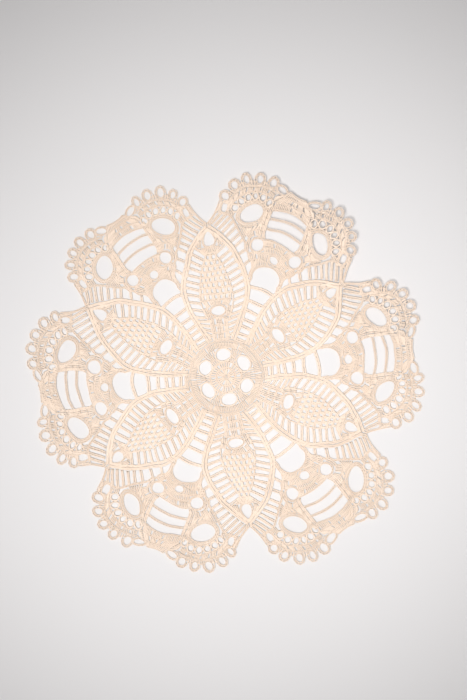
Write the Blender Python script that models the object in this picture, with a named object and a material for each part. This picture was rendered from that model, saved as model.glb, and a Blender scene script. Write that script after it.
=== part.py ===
"""A round lace doily, crocheted in one piece from cotton thread and laid flat.

Six pointed petals stand on a ring of six holes round a dense centre. Between two petals
lies a fan, which ends in a scallop with two lobes edged with thread loops. The pattern
is drawn once, for half of a fan and half of a petal, mirrored, and turned six times.
The whole sheet is then stretched a little unevenly and lifted at one edge, as hand work
lies. It is one closed sheet with its larger gaps cut through.

A plane point is (x, y): in the petal frame y runs out along a petal's middle, and in the
fan frame along a fan's middle. Both have their origin at the doily's centre.
"""

import math

import bmesh
import bpy
from mathutils.geometry import delaunay_2d_cdt

MM = 0.001

# Driving dimensions, in millimetres and degrees.
SECTORS = 6
FIRST_PETAL = 37.1
HALF_SECTOR = 180.0 / SECTORS
THICKNESS = 1.6
CHAIN = 1.5
RAIL_WIDTH = 4.6
BAR_TAPER = 0.3
RAIL_RISE = 0.6
POST_RISE = 0.35
HOLLOW_RISE = -0.6

# The petal's rail, a band of two cords: half of the petal's width along its height.
RAIL_ROWS = (
    # height, half width to the band's middle
    (32.0, 11.2),
    (36.0, 13.6),
    (42.3, 17.2),
    (48.4, 20.2),
    (53.9, 22.6),
    (59.5, 24.4),
    (65.5, 25.8),
    (71.0, 26.4),
    (76.5, 26.1),
    (83.0, 24.6),
    (92.0, 21.0),
    (100.3, 17.0),
    (107.4, 11.3),
    (114.2, 4.9),
    (118.6, 0.0),
)

# The pineapple inside a petal: half of its width along its height.
PINEAPPLE_ROWS = (
    # height, half width
    (46.0, 8.6),
    (52.0, 11.4),
    (60.0, 13.5),
    (68.0, 13.0),
    (77.0, 11.5),
    (82.5, 10.0),
    (87.5, 8.3),
    (92.0, 6.2),
    (96.0, 4.0),
    (100.5, 1.5),
)

# Rows of small hollows in a pineapple, each a loop of chain, one fewer in each row.
STITCH_ROWS = (
    # height, hollows, distance between two
    (69.5, 7, 3.5),
    (75.0, 6, 3.7),
    (80.0, 5, 3.9),
    (84.8, 4, 4.1),
    (89.5, 3, 4.2),
    (93.7, 2, 4.2),
    (97.6, 1, 3.4),
)

# Bars of thread from the pineapple's edge to the rail. The gaps between the wide ones are
# cut through, and those between the narrow ones are hollows.
PETAL_BARS = (
    # height at the pineapple, height at the rail
    (49.0, 50.5),
    (54.5, 56.5),
    (60.0, 62.5),
    (65.2, 68.3),
    (70.2, 73.8),
    (75.0, 79.0),
    (79.8, 84.2),
)
NARROW_BARS = (
    # height at the pineapple, height at the rail
    (84.5, 89.2),
    (89.0, 94.2),
    (93.4, 99.2),
    (97.6, 103.8),
)

# Bars between two neighbouring rails, below the fan's big hole.
FAN_BARS = (
    # height, half width between the rails
    (36.4, 4.2),
    (42.4, 4.2),
    (47.9, 4.4),
    (54.9, 4.8),
    (62.9, 6.2),
    (73.6, 9.4),
)

# Single gaps. A gap off the middle line is there twice, left and right.
PETAL_GAPS = (
    # x, y, width, height, tilt, corners
    (0.0, 18.0, 10.6, 10.0, 0.0, 8),
    (0.0, 53.4, 9.6, 6.2, 0.0, 6),
    (0.0, 109.6, 7.4, 11.6, 0.0, 6),
)
FAN_GAPS = (
    # x, y, width, height, tilt, corners
    (0.0, 25.2, 4.6, 4.4, 0.0, 4),
    (0.0, 83.4, 21.6, 17.6, 0.0, 10),
    (0.0, 98.8, 6.6, 5.6, 0.0, 6),
    (16.4, 104.6, 9.6, 9.6, 0.0, 8),
    (30.0, 125.4, 19.5, 12.6, -45.0, 10),
    (16.0, 87.6, 5.0, 5.6, -25.0, 5),
    (22.6, 92.8, 5.0, 5.6, -30.0, 5),
    (29.6, 99.0, 6.0, 6.0, -35.0, 5),
    (14.2, 151.0, 8.8, 4.2, 16.0, 5),
    (52.6, 122.4, 4.6, 8.4, -4.0, 6),
)

# Hollows between the scallop's inner posts, inside the rim loops.
RIM_HOLLOWS = (
    # x, y
    (18.6, 143.4),
    (25.4, 144.6),
    (32.0, 143.2),
    (38.0, 139.8),
    (42.8, 135.0),
    (46.0, 128.8),
)

# Curved slots across the fan's middle, between arched chains.
FAN_SLOTS = (
    # height of the lower edge, of the upper edge, half width, arch
    (112.0, 120.6, 13.6, 2.0),
    (122.4, 129.2, 14.2, 2.6),
    (131.0, 136.8, 14.2, 3.0),
)
SLOT_STEPS = 4

# Loops of thread along the scallop's edge.
RIM_LOOPS = (
    # x, y of the loop's middle
    (55.4, 130.6),
    (52.0, 140.6),
    (44.4, 148.4),
    (34.2, 152.8),
    (23.2, 153.6),
)
LOOP_GAP_ACROSS = 5.2
LOOP_GAP_ALONG = 6.6
LOOP_SWEEP = 80.0
LOOP_STEPS = 4
LOOP_CORNERS = 6

# The plain stretches of the outline, from the petal's tip to the first loop and from the
# last loop to the notch on the fan's middle line, in the fan frame.
SIDE_EDGE = (
    # x, y
    (60.7, 106.6),
    (59.8, 111.6),
    (58.9, 117.4),
    (59.0, 124.2),
)
NOTCH_EDGE = (
    # x, y
    (15.0, 155.2),
    (7.0, 152.7),
)
NOTCH_HEIGHT = 151.8

# Uneven stretch: each sector's own turns in degrees and reaches as shares of the pattern.
# A row holds the petal that opens the sector and the fan that follows it.
SECTOR_ROWS = (
    # petal turn, petal reach, fan turn, near lobe reach, far lobe reach
    (1.5, 0.986, 0.8, 1.009, 1.025),
    (0.0, 1.017, -1.7, 1.009, 1.012),
    (-3.5, 1.030, -2.1, 0.999, 0.968),
    (-0.7, 0.989, 0.5, 0.984, 0.977),
    (1.6, 0.992, 1.3, 1.012, 1.028),
    (1.0, 0.990, 1.2, 0.987, 1.002),
)
LOBE_ANGLE = 12.0
REACH_FROM = 45.0
REACH_FULL = 115.0
TURN_FROM = 6.0
TURN_FULL = 45.0

# Where the sheet stands off the surface: a broad wave at one side.
LIFT_ROWS = (
    # direction, half spread, height at the edge, radius where it starts
    (48.0, 52.0, 7.0, 92.0),
)
EDGE_RADIUS = 160.0

# Elsewhere it rests on its flat middle and on the tips of three rim loops, one in every
# second sector, and the rest of its edge stands a little off the surface.
RESTING_SECTORS = (1, 3, 5)
RESTING_LOOP = 3
STAND_OFF = 0.6
STAND_SPREAD = 16.0
STAND_FROM = 50.0

MERGE = 1e-7

COTTON = (0.93, 0.79, 0.68, 1.0)
COTTON_ROUGHNESS = 0.85


def smooth(value):
    """Ease from 0 to 1, flat at both ends."""
    value = min(1.0, max(0.0, value))
    return value * value * (3.0 - 2.0 * value)


def row_width(rows, height):
    """The half width that a table of (height, half width) rows gives at a height."""
    for (low, low_width), (high, high_width) in zip(rows, rows[1:]):
        if height <= high:
            share = (height - low) / (high - low)
            return low_width + (high_width - low_width) * share
    return rows[-1][1]


def turned(points, degrees):
    """Points turned anticlockwise about the centre."""
    cosine = math.cos(math.radians(degrees))
    sine = math.sin(math.radians(degrees))
    return [(x * cosine - y * sine, x * sine + y * cosine) for x, y in points]


def mirrored(points):
    """The other half's copy, in the opposite order."""
    return [(-x, y) for x, y in reversed(points)]


def rounded_gap(x, y, width, height, tilt, corners):
    """A rounded gap with the given number of corners, a flat side down.

    Its corners lie as far outside the oval of that width and height as its sides dip inside.
    """
    first = -90.0 + 180.0 / corners
    outside = (1.0 + 1.0 / math.cos(math.pi / corners)) / 2.0
    points = []
    for step in range(corners):
        angle = math.radians(first + 360.0 * step / corners)
        across = outside * width / 2.0 * math.cos(angle)
        along = outside * height / 2.0 * math.sin(angle)
        points.append((across, along))
    return [(x + px, y + py) for px, py in turned(points, tilt)]


def both_sides(gaps):
    """Each gap of a frame, and the mirrored copy of one that is off the middle line."""
    loops = []
    for row in gaps:
        loop = rounded_gap(*row)
        loops.append(loop)
        if row[0] > 0.0:
            loops.append(mirrored(loop))
    return loops


def petal_ladder():
    """Gaps between the bars that join the pineapple to the rail, on both sides."""
    loops = []
    for (inner_low, outer_low), (inner_high, outer_high) in zip(PETAL_BARS, PETAL_BARS[1:]):
        corners = []
        for height, side in (
            (inner_low + CHAIN / 2, "inner"),
            (outer_low + CHAIN / 2, "outer"),
            (outer_high - CHAIN / 2, "outer"),
            (inner_high - CHAIN / 2, "inner"),
        ):
            if side == "inner":
                corners.append((row_width(PINEAPPLE_ROWS, height) + CHAIN / 2, height))
            else:
                corners.append((row_width(RAIL_ROWS, height) - RAIL_WIDTH / 2, height))
        loops.append(corners)
        loops.append(mirrored(corners))
    return loops


def fan_ladder():
    """Gaps between the bars that join two rails."""
    loops = []
    for (low, low_width), (high, high_width) in zip(FAN_BARS, FAN_BARS[1:]):
        bottom = low + CHAIN / 2
        top = high - CHAIN / 2
        right = [(low_width, bottom), (high_width - BAR_TAPER, top)]
        loops.append(right + mirrored(right))
    return loops


def fan_slots():
    """Curved gaps between the arched chains."""
    loops = []
    for low, high, half_width, arch in FAN_SLOTS:
        right = []
        for height in (low, high):
            edge = []
            for step in range(SLOT_STEPS):
                share = (step + 0.5) / SLOT_STEPS
                edge.append((half_width * share, height - arch * share * share))
            right += edge if height == low else edge[::-1]
        loops.append(right + mirrored(right))
    return loops


def rim_normal(index):
    """The outward direction at a rim loop, in degrees, from its neighbours on the rim."""
    before = RIM_LOOPS[max(0, index - 1)]
    after = RIM_LOOPS[min(len(RIM_LOOPS) - 1, index + 1)]
    along = math.degrees(math.atan2(after[1] - before[1], after[0] - before[0]))
    return along - 90.0


def rim_gaps():
    """The open middles of the rim's loops, on both sides."""
    loops = []
    for index, (x, y) in enumerate(RIM_LOOPS):
        tilt = rim_normal(index)
        loop = rounded_gap(x, y, LOOP_GAP_ALONG, LOOP_GAP_ACROSS, tilt, LOOP_CORNERS)
        loops.append(loop)
        loops.append(mirrored(loop))
    return loops


def rim_edge():
    """Half of a scallop's outline, from the petal's tip to the notch."""
    edge = list(SIDE_EDGE)
    for index, (x, y) in enumerate(RIM_LOOPS):
        normal = rim_normal(index)
        for step in range(LOOP_STEPS + 1):
            sweep = -LOOP_SWEEP + 2.0 * LOOP_SWEEP * step / LOOP_STEPS
            out = (LOOP_GAP_ALONG / 2 + CHAIN) * math.cos(math.radians(sweep))
            across = (LOOP_GAP_ACROSS / 2 + CHAIN) * math.sin(math.radians(sweep))
            (turned_x, turned_y), = turned([(out, across)], normal)
            edge.append((x + turned_x, y + turned_y))
    return edge + list(NOTCH_EDGE)


def scallop_outline():
    """A whole scallop's outline, anticlockwise."""
    right = rim_edge()
    return right + [(0.0, NOTCH_HEIGHT)] + mirrored(right)


def rail_relief():
    """Raised points along the middle of a petal's two rails: (x, y, rise)."""
    right = [(half_width, height) for height, half_width in RAIL_ROWS[:-1]]
    crest = right + [(0.0, RAIL_ROWS[-1][0])] + mirrored(right)
    return [(x, y, RAIL_RISE) for x, y in crest]


def pineapple_relief():
    """A pineapple's hollows and the raised posts beside them: (x, y, rise)."""
    points = []
    for height, count, pitch in STITCH_ROWS:
        first = -pitch * (count - 1) / 2.0
        points += [(first + pitch * step, height, HOLLOW_RISE) for step in range(count)]
        points += [(first + pitch * (step - 0.5), height, POST_RISE) for step in range(count + 1)]
    return points


def bar_relief():
    """Hollows between a petal's narrow bars, and the bars between them: (x, y, rise)."""
    points = []
    rows = PETAL_BARS[-1:] + NARROW_BARS
    for (inner_low, outer_low), (inner_high, outer_high) in zip(rows, rows[1:]):
        for inner, outer, rise in (
            ((inner_low + inner_high) / 2.0, (outer_low + outer_high) / 2.0, HOLLOW_RISE),
            (inner_high, outer_high, 0.0),
        ):
            inner_x = row_width(PINEAPPLE_ROWS, inner)
            outer_x = row_width(RAIL_ROWS, outer) - RAIL_WIDTH / 2
            x = (inner_x + outer_x) / 2.0
            y = (inner + outer) / 2.0
            points += [(x, y, rise), (-x, y, rise)]
    return points


def rim_relief():
    """Hollows inside the rim loops, on both sides: (x, y, rise)."""
    right = [(x, y, HOLLOW_RISE) for x, y in RIM_HOLLOWS]
    return right + [(-x, y, rise) for x, y, rise in right]


def between(rows, angle):
    """Blend (angle, value) rows round the circle, in degrees."""
    angle = angle % 360.0
    rows = sorted((row[0] % 360.0, row[1]) for row in rows)
    rows = [(rows[-1][0] - 360.0, rows[-1][1])] + rows + [(rows[0][0] + 360.0, rows[0][1])]
    for (low, low_value), (high, high_value) in zip(rows, rows[1:]):
        if low <= angle <= high:
            return low_value + (high_value - low_value) * smooth((angle - low) / (high - low))
    return rows[0][1]


def turn_rows():
    """Where the sheet turns: (direction, degrees)."""
    rows = []
    for sector, (petal_turn, _, fan_turn, _, _) in enumerate(SECTOR_ROWS):
        petal = FIRST_PETAL + 2.0 * HALF_SECTOR * sector
        rows.append((petal, petal_turn))
        rows.append((petal + HALF_SECTOR, fan_turn))
    return rows


def reach_rows():
    """Where the sheet reaches further or less far: (direction, share)."""
    rows = []
    for sector, (_, petal_reach, _, near_reach, far_reach) in enumerate(SECTOR_ROWS):
        petal = FIRST_PETAL + 2.0 * HALF_SECTOR * sector
        fan = petal + HALF_SECTOR
        rows.append((petal, petal_reach))
        rows.append((fan - LOBE_ANGLE, near_reach))
        rows.append((fan + LOBE_ANGLE, far_reach))
    return rows


TURNS = turn_rows()
REACHES = reach_rows()


def stretched(x, y):
    """A point of the even pattern moved to where it lies in the uneven sheet."""
    radius = math.hypot(x, y)
    angle = math.degrees(math.atan2(y, x))
    reach_share = smooth((radius - REACH_FROM) / (REACH_FULL - REACH_FROM))
    turn_share = smooth((radius - TURN_FROM) / (TURN_FULL - TURN_FROM))
    reach = 1.0 + (between(REACHES, angle) - 1.0) * reach_share
    turn = math.radians(angle + between(TURNS, angle) * turn_share)
    return radius * reach * math.cos(turn), radius * reach * math.sin(turn)


def petal_angle(sector):
    """How far a petal frame is turned, its y axis being its petal's middle."""
    return FIRST_PETAL + 2.0 * HALF_SECTOR * sector - 90.0


def laid(points, degrees):
    """A frame's points turned to their place and stretched."""
    return [stretched(x, y) for x, y in turned(points, degrees)]


def laid_relief(points, degrees):
    """A frame's (x, y, rise) points turned to their place and stretched."""
    places = laid([(x, y) for x, y, _ in points], degrees)
    return [(x, y, rise) for (x, y), (_, _, rise) in zip(places, points)]


def apart(angle, other):
    """How far two directions lie apart, in degrees."""
    return abs((angle - other + 180.0) % 360.0 - 180.0)


def resting_directions():
    """The directions of the three rim loops' tips that touch the surface."""
    x, y = RIM_LOOPS[RESTING_LOOP]
    reach = LOOP_GAP_ALONG / 2 + CHAIN
    (out_x, out_y), = turned([(reach, 0.0)], rim_normal(RESTING_LOOP))
    directions = []
    for sector in RESTING_SECTORS:
        fan = petal_angle(sector) + HALF_SECTOR
        (tip_x, tip_y), = laid([(x + out_x, y + out_y)], fan)
        directions.append(math.degrees(math.atan2(tip_y, tip_x)))
    return directions


def lift(x, y):
    """How far the underside stands off the surface at a point."""
    radius = math.hypot(x, y)
    angle = math.degrees(math.atan2(y, x))
    off = min(apart(angle, direction) for direction in RESTING)
    outward = smooth((radius - STAND_FROM) / (EDGE_RADIUS - STAND_FROM))
    height = STAND_OFF * min(1.0, off / STAND_SPREAD) * outward
    for direction, spread, edge_height, start in LIFT_ROWS:
        share = smooth(1.0 - apart(angle, direction) / spread)
        height += edge_height * share * smooth((radius - start) / (EDGE_RADIUS - start))
    return height


RESTING = resting_directions()


def pattern():
    """The outline, the gaps and the relief of the whole doily."""
    outline = []
    gaps = []
    relief = []
    for sector in range(SECTORS):
        petal = petal_angle(sector)
        fan = petal + HALF_SECTOR
        outline += laid(scallop_outline(), fan)
        for loop in both_sides(PETAL_GAPS) + petal_ladder():
            gaps.append(laid(loop, petal))
        for loop in both_sides(FAN_GAPS) + fan_ladder() + fan_slots() + rim_gaps():
            gaps.append(laid(loop, fan))
        relief += laid_relief(rail_relief() + pineapple_relief() + bar_relief(), petal)
        relief += laid_relief(rim_relief(), fan)
    return outline, gaps, relief


def inside(point, loop):
    """Whether a point lies within a closed loop."""
    x, y = point
    crossed = False
    for (ax, ay), (bx, by) in zip(loop, loop[1:] + loop[:1]):
        if (ay > y) != (by > y) and x < ax + (bx - ax) * (y - ay) / (by - ay):
            crossed = not crossed
    return crossed


def near(point, box):
    """Whether a point lies in a (low x, high x, low y, high y) box."""
    return box[0] <= point[0] <= box[1] and box[2] <= point[1] <= box[3]


def box_of(loop):
    """A loop's (low x, high x, low y, high y)."""
    across = [x for x, _ in loop]
    along = [y for _, y in loop]
    return min(across), max(across), min(along), max(along)


def signed_area(loop):
    """Twice a loop's area, positive where it runs anticlockwise."""
    return sum(ax * by - bx * ay for (ax, ay), (bx, by) in zip(loop, loop[1:] + loop[:1]))


def sheet_triangles(loops, extra):
    """Triangles that fill the first loop but for the others, on their points and the extra ones."""
    points = []
    edges = []
    for loop in loops:
        first = len(points)
        points += loop
        edges += [(first + step, first + (step + 1) % len(loop)) for step in range(len(loop))]
    found, _, faces, _, _, _ = delaunay_2d_cdt(points + extra, edges, [], 0, MERGE)
    boxes = [box_of(loop) for loop in loops[1:]]
    kept = []
    for face in faces:
        middle = (
            sum(found[corner][0] for corner in face) / 3.0,
            sum(found[corner][1] for corner in face) / 3.0,
        )
        in_gap = any(
            near(middle, box) and inside(middle, loop) for box, loop in zip(boxes, loops[1:])
        )
        if inside(middle, loops[0]) and not in_gap:
            kept.append(tuple(face))
    return kept


def sheet_mesh(name):
    """The doily as one closed sheet, its underside level but for the lift."""
    outline, gaps, relief = pattern()
    loops = [outline if signed_area(outline) > 0 else outline[::-1]]
    loops += [gap[::-1] if signed_area(gap) > 0 else gap for gap in gaps]
    rim = [point for loop in loops for point in loop]
    work = bmesh.new()
    top = []
    for x, y, rise in [(x, y, 0.0) for x, y in rim] + relief:
        top.append(work.verts.new((x * MM, y * MM, (lift(x, y) + THICKNESS + rise) * MM)))
    bottom = [work.verts.new((x * MM, y * MM, lift(x, y) * MM)) for x, y in rim]
    for face in sheet_triangles(loops, [(x, y) for x, y, _ in relief]):
        work.faces.new([top[corner] for corner in face])
    for face in sheet_triangles(loops, []):
        work.faces.new([bottom[corner] for corner in reversed(face)])
    first = 0
    for loop in loops:
        for step in range(len(loop)):
            here = first + step
            ahead = first + (step + 1) % len(loop)
            work.faces.new([top[ahead], top[here], bottom[here], bottom[ahead]])
        first += len(loop)
    mesh = bpy.data.meshes.new(name)
    work.to_mesh(mesh)
    work.free()
    return mesh


def cotton():
    """Plain cream cotton."""
    material = bpy.data.materials.new("cotton")
    material.use_nodes = True
    shader = material.node_tree.nodes["Principled BSDF"]
    shader.inputs["Base Color"].default_value = COTTON
    shader.inputs["Roughness"].default_value = COTTON_ROUGHNESS
    shader.inputs["Metallic"].default_value = 0.0
    return material


def main():
    for thing in list(bpy.data.objects):
        bpy.data.objects.remove(thing, do_unlink=True)
    mesh = sheet_mesh("doily")
    mesh.materials.append(cotton())
    doily = bpy.data.objects.new("doily", mesh)
    bpy.context.scene.collection.objects.link(doily)


main()
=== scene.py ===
"""The looks of a round lace doily: every chain and post of its crochet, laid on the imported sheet.

The pattern is drawn as strands in two flat frames, in millimetres: the petal frame, where y
runs out along a petal's middle, and the fan frame, where y runs out along a fan's middle. A
strand is a chain, which follows a curve stitch by stitch, a post, which is one tall stitch, or
a cord, which is a close twisted strand along a curve. Half of each frame is drawn and
mirrored, and the whole is turned six times. Then every point is moved by the same uneven
stretch and lift as the sheet that it replaces, and by the small wavering of handwork.
"""

import math

import bpy
import numpy as np
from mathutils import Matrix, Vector


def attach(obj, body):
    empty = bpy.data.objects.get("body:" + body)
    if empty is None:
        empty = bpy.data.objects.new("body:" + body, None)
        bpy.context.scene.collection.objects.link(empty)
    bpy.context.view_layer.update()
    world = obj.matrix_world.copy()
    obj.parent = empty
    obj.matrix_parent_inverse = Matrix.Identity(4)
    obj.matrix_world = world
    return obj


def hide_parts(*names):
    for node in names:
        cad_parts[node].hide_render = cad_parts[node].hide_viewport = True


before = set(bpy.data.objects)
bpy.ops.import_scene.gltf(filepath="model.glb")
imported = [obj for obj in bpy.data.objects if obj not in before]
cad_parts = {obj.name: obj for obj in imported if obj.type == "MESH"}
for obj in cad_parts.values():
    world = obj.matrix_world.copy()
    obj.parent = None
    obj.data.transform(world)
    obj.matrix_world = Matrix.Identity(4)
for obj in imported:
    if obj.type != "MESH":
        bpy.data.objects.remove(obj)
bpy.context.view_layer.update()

MM = 0.001

# The sheet's plan, in millimetres and degrees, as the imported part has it.
SECTORS = 6
FIRST_PETAL = 37.1
HALF_SECTOR = 180.0 / SECTORS

RAIL_ROWS = (
    # height, half width to the rail's middle
    (32.0, 11.2),
    (36.0, 13.6),
    (42.3, 17.2),
    (48.4, 20.2),
    (53.9, 22.6),
    (59.5, 24.4),
    (65.5, 25.8),
    (71.0, 26.4),
    (76.5, 26.1),
    (83.0, 24.6),
    (92.0, 21.0),
    (100.3, 17.0),
    (107.4, 11.3),
    (114.2, 4.9),
    (118.6, 0.0),
)
PINEAPPLE_ROWS = (
    # height, half width
    (46.0, 8.6),
    (52.0, 11.4),
    (60.0, 13.5),
    (68.0, 13.0),
    (77.0, 11.5),
    (82.5, 10.0),
    (87.5, 8.3),
    (92.0, 6.2),
    (96.0, 4.0),
    (100.5, 1.5),
)
RIM_LOOPS = (
    # x, y of the loop's middle
    (55.4, 130.6),
    (52.0, 140.6),
    (44.4, 148.4),
    (34.2, 152.8),
    (23.2, 153.6),
)

# How the even pattern is turned and stretched into the uneven sheet.
SECTOR_ROWS = (
    # petal turn, petal reach, fan turn, near lobe reach, far lobe reach
    (1.5, 0.986, 0.8, 1.009, 1.025),
    (0.0, 1.017, -1.7, 1.009, 1.012),
    (-3.5, 1.030, -2.1, 0.999, 0.968),
    (-0.7, 0.989, 0.5, 0.984, 0.977),
    (1.6, 0.992, 1.3, 1.012, 1.028),
    (1.0, 0.990, 1.2, 0.987, 1.002),
)
LOBE_ANGLE = 12.0
REACH_FROM = 45.0
REACH_FULL = 115.0
TURN_FROM = 6.0
TURN_FULL = 45.0

# Where the sheet stands off the surface: a broad wave at one side, and elsewhere a little at
# the edge, except at the tips of three rim loops, one in every second sector. A loop's tip is
# RESTING_REACH from its middle.
WAVE_DIRECTION = 48.0
WAVE_SPREAD = 52.0
WAVE_HEIGHT = 7.0
WAVE_FROM = 92.0
EDGE_RADIUS = 160.0
RESTING_SECTORS = (1, 3, 5)
RESTING_LOOP = 3
RESTING_REACH = 4.7
STAND_OFF = 0.6
STAND_SPREAD = 16.0
STAND_FROM = 50.0

# Chains: the thread, a stitch's length, how far the thread swings to the sides and up, and
# how far a chain's middle stands off the hole that it goes round.
THREAD_RADIUS = 0.38
THREAD_SIDES = 5
PITCH = 2.7
CHAIN_WIDTH = 0.70
WIDE_CHAIN = 0.92
CHAIN_HEIGHT = 0.34
CHAIN_HALF = 1.0
STITCH_PATH = (
    # along (stitches), across (widths), up (heights) of the thread through one chain stitch
    (0.00, 0.15, -1.2),
    (0.22, 0.72, 0.5),
    (0.60, 1.00, 1.0),
    (1.05, 0.70, 0.6),
    (1.28, 0.00, 0.1),
    (1.05, -0.70, 0.6),
    (0.60, -1.00, 1.0),
    (0.22, -0.72, 0.5),
    (0.10, -0.10, -1.2),
)

# Posts and cords: half widths, flatness, turns for each millimetre, and the rings of
# vertices along one. START_SPREAD shifts each one's twist, so that no two start alike.
POST_WIDE = 0.70
CORD_WIDE = 0.84
POST_FLATNESS = 0.8
POST_SIDES = 8
POST_TURN = 0.14
POST_STEP = 0.88
LEAST_RINGS = 4
START_SPREAD = 0.5

# Groups of posts: the length of one in a column, the distance between two in a row, the step
# along a column's path, half the distance between a bar's two, and how far the chain on a
# row's heads rides over its posts.
POST_LENGTH = 5.2
POST_PITCH = 1.27
COLUMN_STEP = 1.5
BAR_HALF = 0.62
HEAD_RISE = 0.1

# The height of every strand's middle over the sheet's underside, and how uneven it all is.
BASE_HEIGHT = 0.84
UNEVEN = 0.07
SEED = 11
WANDER_ROWS = (
    # how far in x, how far in y, and the wave's x and y turns for each metre
    (0.35, 0.20, 31.0, 12.0),
    (-0.20, 0.35, -17.0, 27.0),
    (0.22, -0.18, 47.0, -38.0),
    (0.12, 0.16, -61.0, -52.0),
)

# The step along a drawn curve, and a distance that counts as none.
CURVE_STEP = 0.35
TINY = 1e-6

rng = np.random.default_rng(SEED)


# ---------------------------------------------------------------- plan geometry


def smooth(value):
    """Ease from 0 to 1, flat at both ends."""
    value = np.clip(value, 0.0, 1.0)
    return value * value * (3.0 - 2.0 * value)


def row_width(rows, height):
    """The half width that a table of (height, half width) rows gives at a height."""
    return float(np.interp(height, [row[0] for row in rows], [row[1] for row in rows]))


def turned(points, degrees):
    """Points turned anticlockwise about the centre."""
    points = np.asarray(points, float)
    cosine = math.cos(math.radians(degrees))
    sine = math.sin(math.radians(degrees))
    x, y = points[:, 0], points[:, 1]
    return np.stack([x * cosine - y * sine, x * sine + y * cosine], axis=1)


def between(rows, angle):
    """Blend (angle, value) rows round the circle, in degrees."""
    rows = sorted((row[0] % 360.0, row[1]) for row in rows)
    rows = [(rows[-1][0] - 360.0, rows[-1][1])] + rows + [(rows[0][0] + 360.0, rows[0][1])]
    angles = np.array([row[0] for row in rows])
    values = np.array([row[1] for row in rows])
    angle = np.mod(angle, 360.0)
    upper = np.clip(np.searchsorted(angles, angle), 1, len(angles) - 1)
    low, high = angles[upper - 1], angles[upper]
    share = smooth((angle - low) / (high - low))
    return values[upper - 1] + (values[upper] - values[upper - 1]) * share


def turn_rows():
    """Where the sheet turns: (direction, degrees)."""
    rows = []
    for sector, (petal_turn, _, fan_turn, _, _) in enumerate(SECTOR_ROWS):
        petal = FIRST_PETAL + 2.0 * HALF_SECTOR * sector
        rows.append((petal, petal_turn))
        rows.append((petal + HALF_SECTOR, fan_turn))
    return rows


def reach_rows():
    """Where the sheet reaches further or less far: (direction, share)."""
    rows = []
    for sector, (_, petal_reach, _, near_reach, far_reach) in enumerate(SECTOR_ROWS):
        petal = FIRST_PETAL + 2.0 * HALF_SECTOR * sector
        fan = petal + HALF_SECTOR
        rows.append((petal, petal_reach))
        rows.append((fan - LOBE_ANGLE, near_reach))
        rows.append((fan + LOBE_ANGLE, far_reach))
    return rows


TURNS = turn_rows()
REACHES = reach_rows()


def stretched(points):
    """Points of the even pattern moved to where they lie in the uneven sheet."""
    radius = np.hypot(points[:, 0], points[:, 1])
    angle = np.degrees(np.arctan2(points[:, 1], points[:, 0]))
    reach_share = smooth((radius - REACH_FROM) / (REACH_FULL - REACH_FROM))
    turn_share = smooth((radius - TURN_FROM) / (TURN_FULL - TURN_FROM))
    reach = radius * (1.0 + (between(REACHES, angle) - 1.0) * reach_share)
    turn = np.radians(angle + between(TURNS, angle) * turn_share)
    return np.stack([reach * np.cos(turn), reach * np.sin(turn)], axis=1)


def wandered(points):
    """Points moved a little by slow waves, as handwork never lies quite true."""
    moved = points.copy()
    for across, along, x_turns, y_turns in WANDER_ROWS:
        wave = np.sin(2.0 * math.pi * (points @ (x_turns * MM, y_turns * MM)) + across + along)
        moved += wave[:, None] * (across, along)
    return moved


def laid(points, degrees):
    """A frame's points turned to their place and stretched."""
    return stretched(turned(points, degrees))


def petal_angle(sector):
    """How far a petal frame is turned, its y axis being its petal's middle."""
    return FIRST_PETAL + 2.0 * HALF_SECTOR * sector - 90.0


def rim_normal(index):
    """The outward direction at a rim loop, in degrees, from its neighbours on the rim."""
    before = RIM_LOOPS[max(0, index - 1)]
    after = RIM_LOOPS[min(len(RIM_LOOPS) - 1, index + 1)]
    return math.degrees(math.atan2(after[1] - before[1], after[0] - before[0])) - 90.0


def resting_directions():
    """The directions of the three rim loops' tips that touch the surface."""
    x, y = RIM_LOOPS[RESTING_LOOP]
    normal = math.radians(rim_normal(RESTING_LOOP))
    tip = [(x + RESTING_REACH * math.cos(normal), y + RESTING_REACH * math.sin(normal))]
    places = [laid(tip, petal_angle(sector) + HALF_SECTOR)[0] for sector in RESTING_SECTORS]
    return [math.degrees(math.atan2(place[1], place[0])) for place in places]


RESTING = resting_directions()


def apart(angle, other):
    """How far directions lie apart, in degrees."""
    return np.abs(np.mod(angle - other + 180.0, 360.0) - 180.0)


def lift(points):
    """How far the underside stands off the surface at points."""
    radius = np.hypot(points[:, 0], points[:, 1])
    angle = np.degrees(np.arctan2(points[:, 1], points[:, 0]))
    off = np.min([apart(angle, direction) for direction in RESTING], axis=0)
    outward = smooth((radius - STAND_FROM) / (EDGE_RADIUS - STAND_FROM))
    stand = STAND_OFF * np.minimum(1.0, off / STAND_SPREAD) * outward
    share = smooth(1.0 - apart(angle, WAVE_DIRECTION) / WAVE_SPREAD)
    return stand + WAVE_HEIGHT * share * smooth((radius - WAVE_FROM) / (EDGE_RADIUS - WAVE_FROM))


# ---------------------------------------------------------------- strands in a frame


def chain(points, rise=0.0, pitch=PITCH, width=CHAIN_WIDTH):
    """A crocheted chain along a smooth curve through the points."""
    return ("chain", [tuple(point) for point in points], rise, pitch, width)


def post(foot, head, rise=0.0, wide=POST_WIDE):
    """One tall stitch from its foot to its head."""
    return ("post", [tuple(foot), tuple(head)], rise, PITCH, wide)


def cord(points, rise=0.0, wide=CORD_WIDE):
    """A close twisted strand along a smooth curve, as of stitches worked over a loop."""
    return ("cord", [tuple(point) for point in points], rise, PITCH, wide)


def bar(foot, head):
    """A pair of long stitches side by side."""
    foot = np.asarray(foot, float)
    head = np.asarray(head, float)
    run = (head - foot) / np.hypot(*(head - foot))
    side = np.array([run[1], -run[0]]) * BAR_HALF
    return [post(foot - side, head - side), post(foot + side, head + side)]


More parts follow.
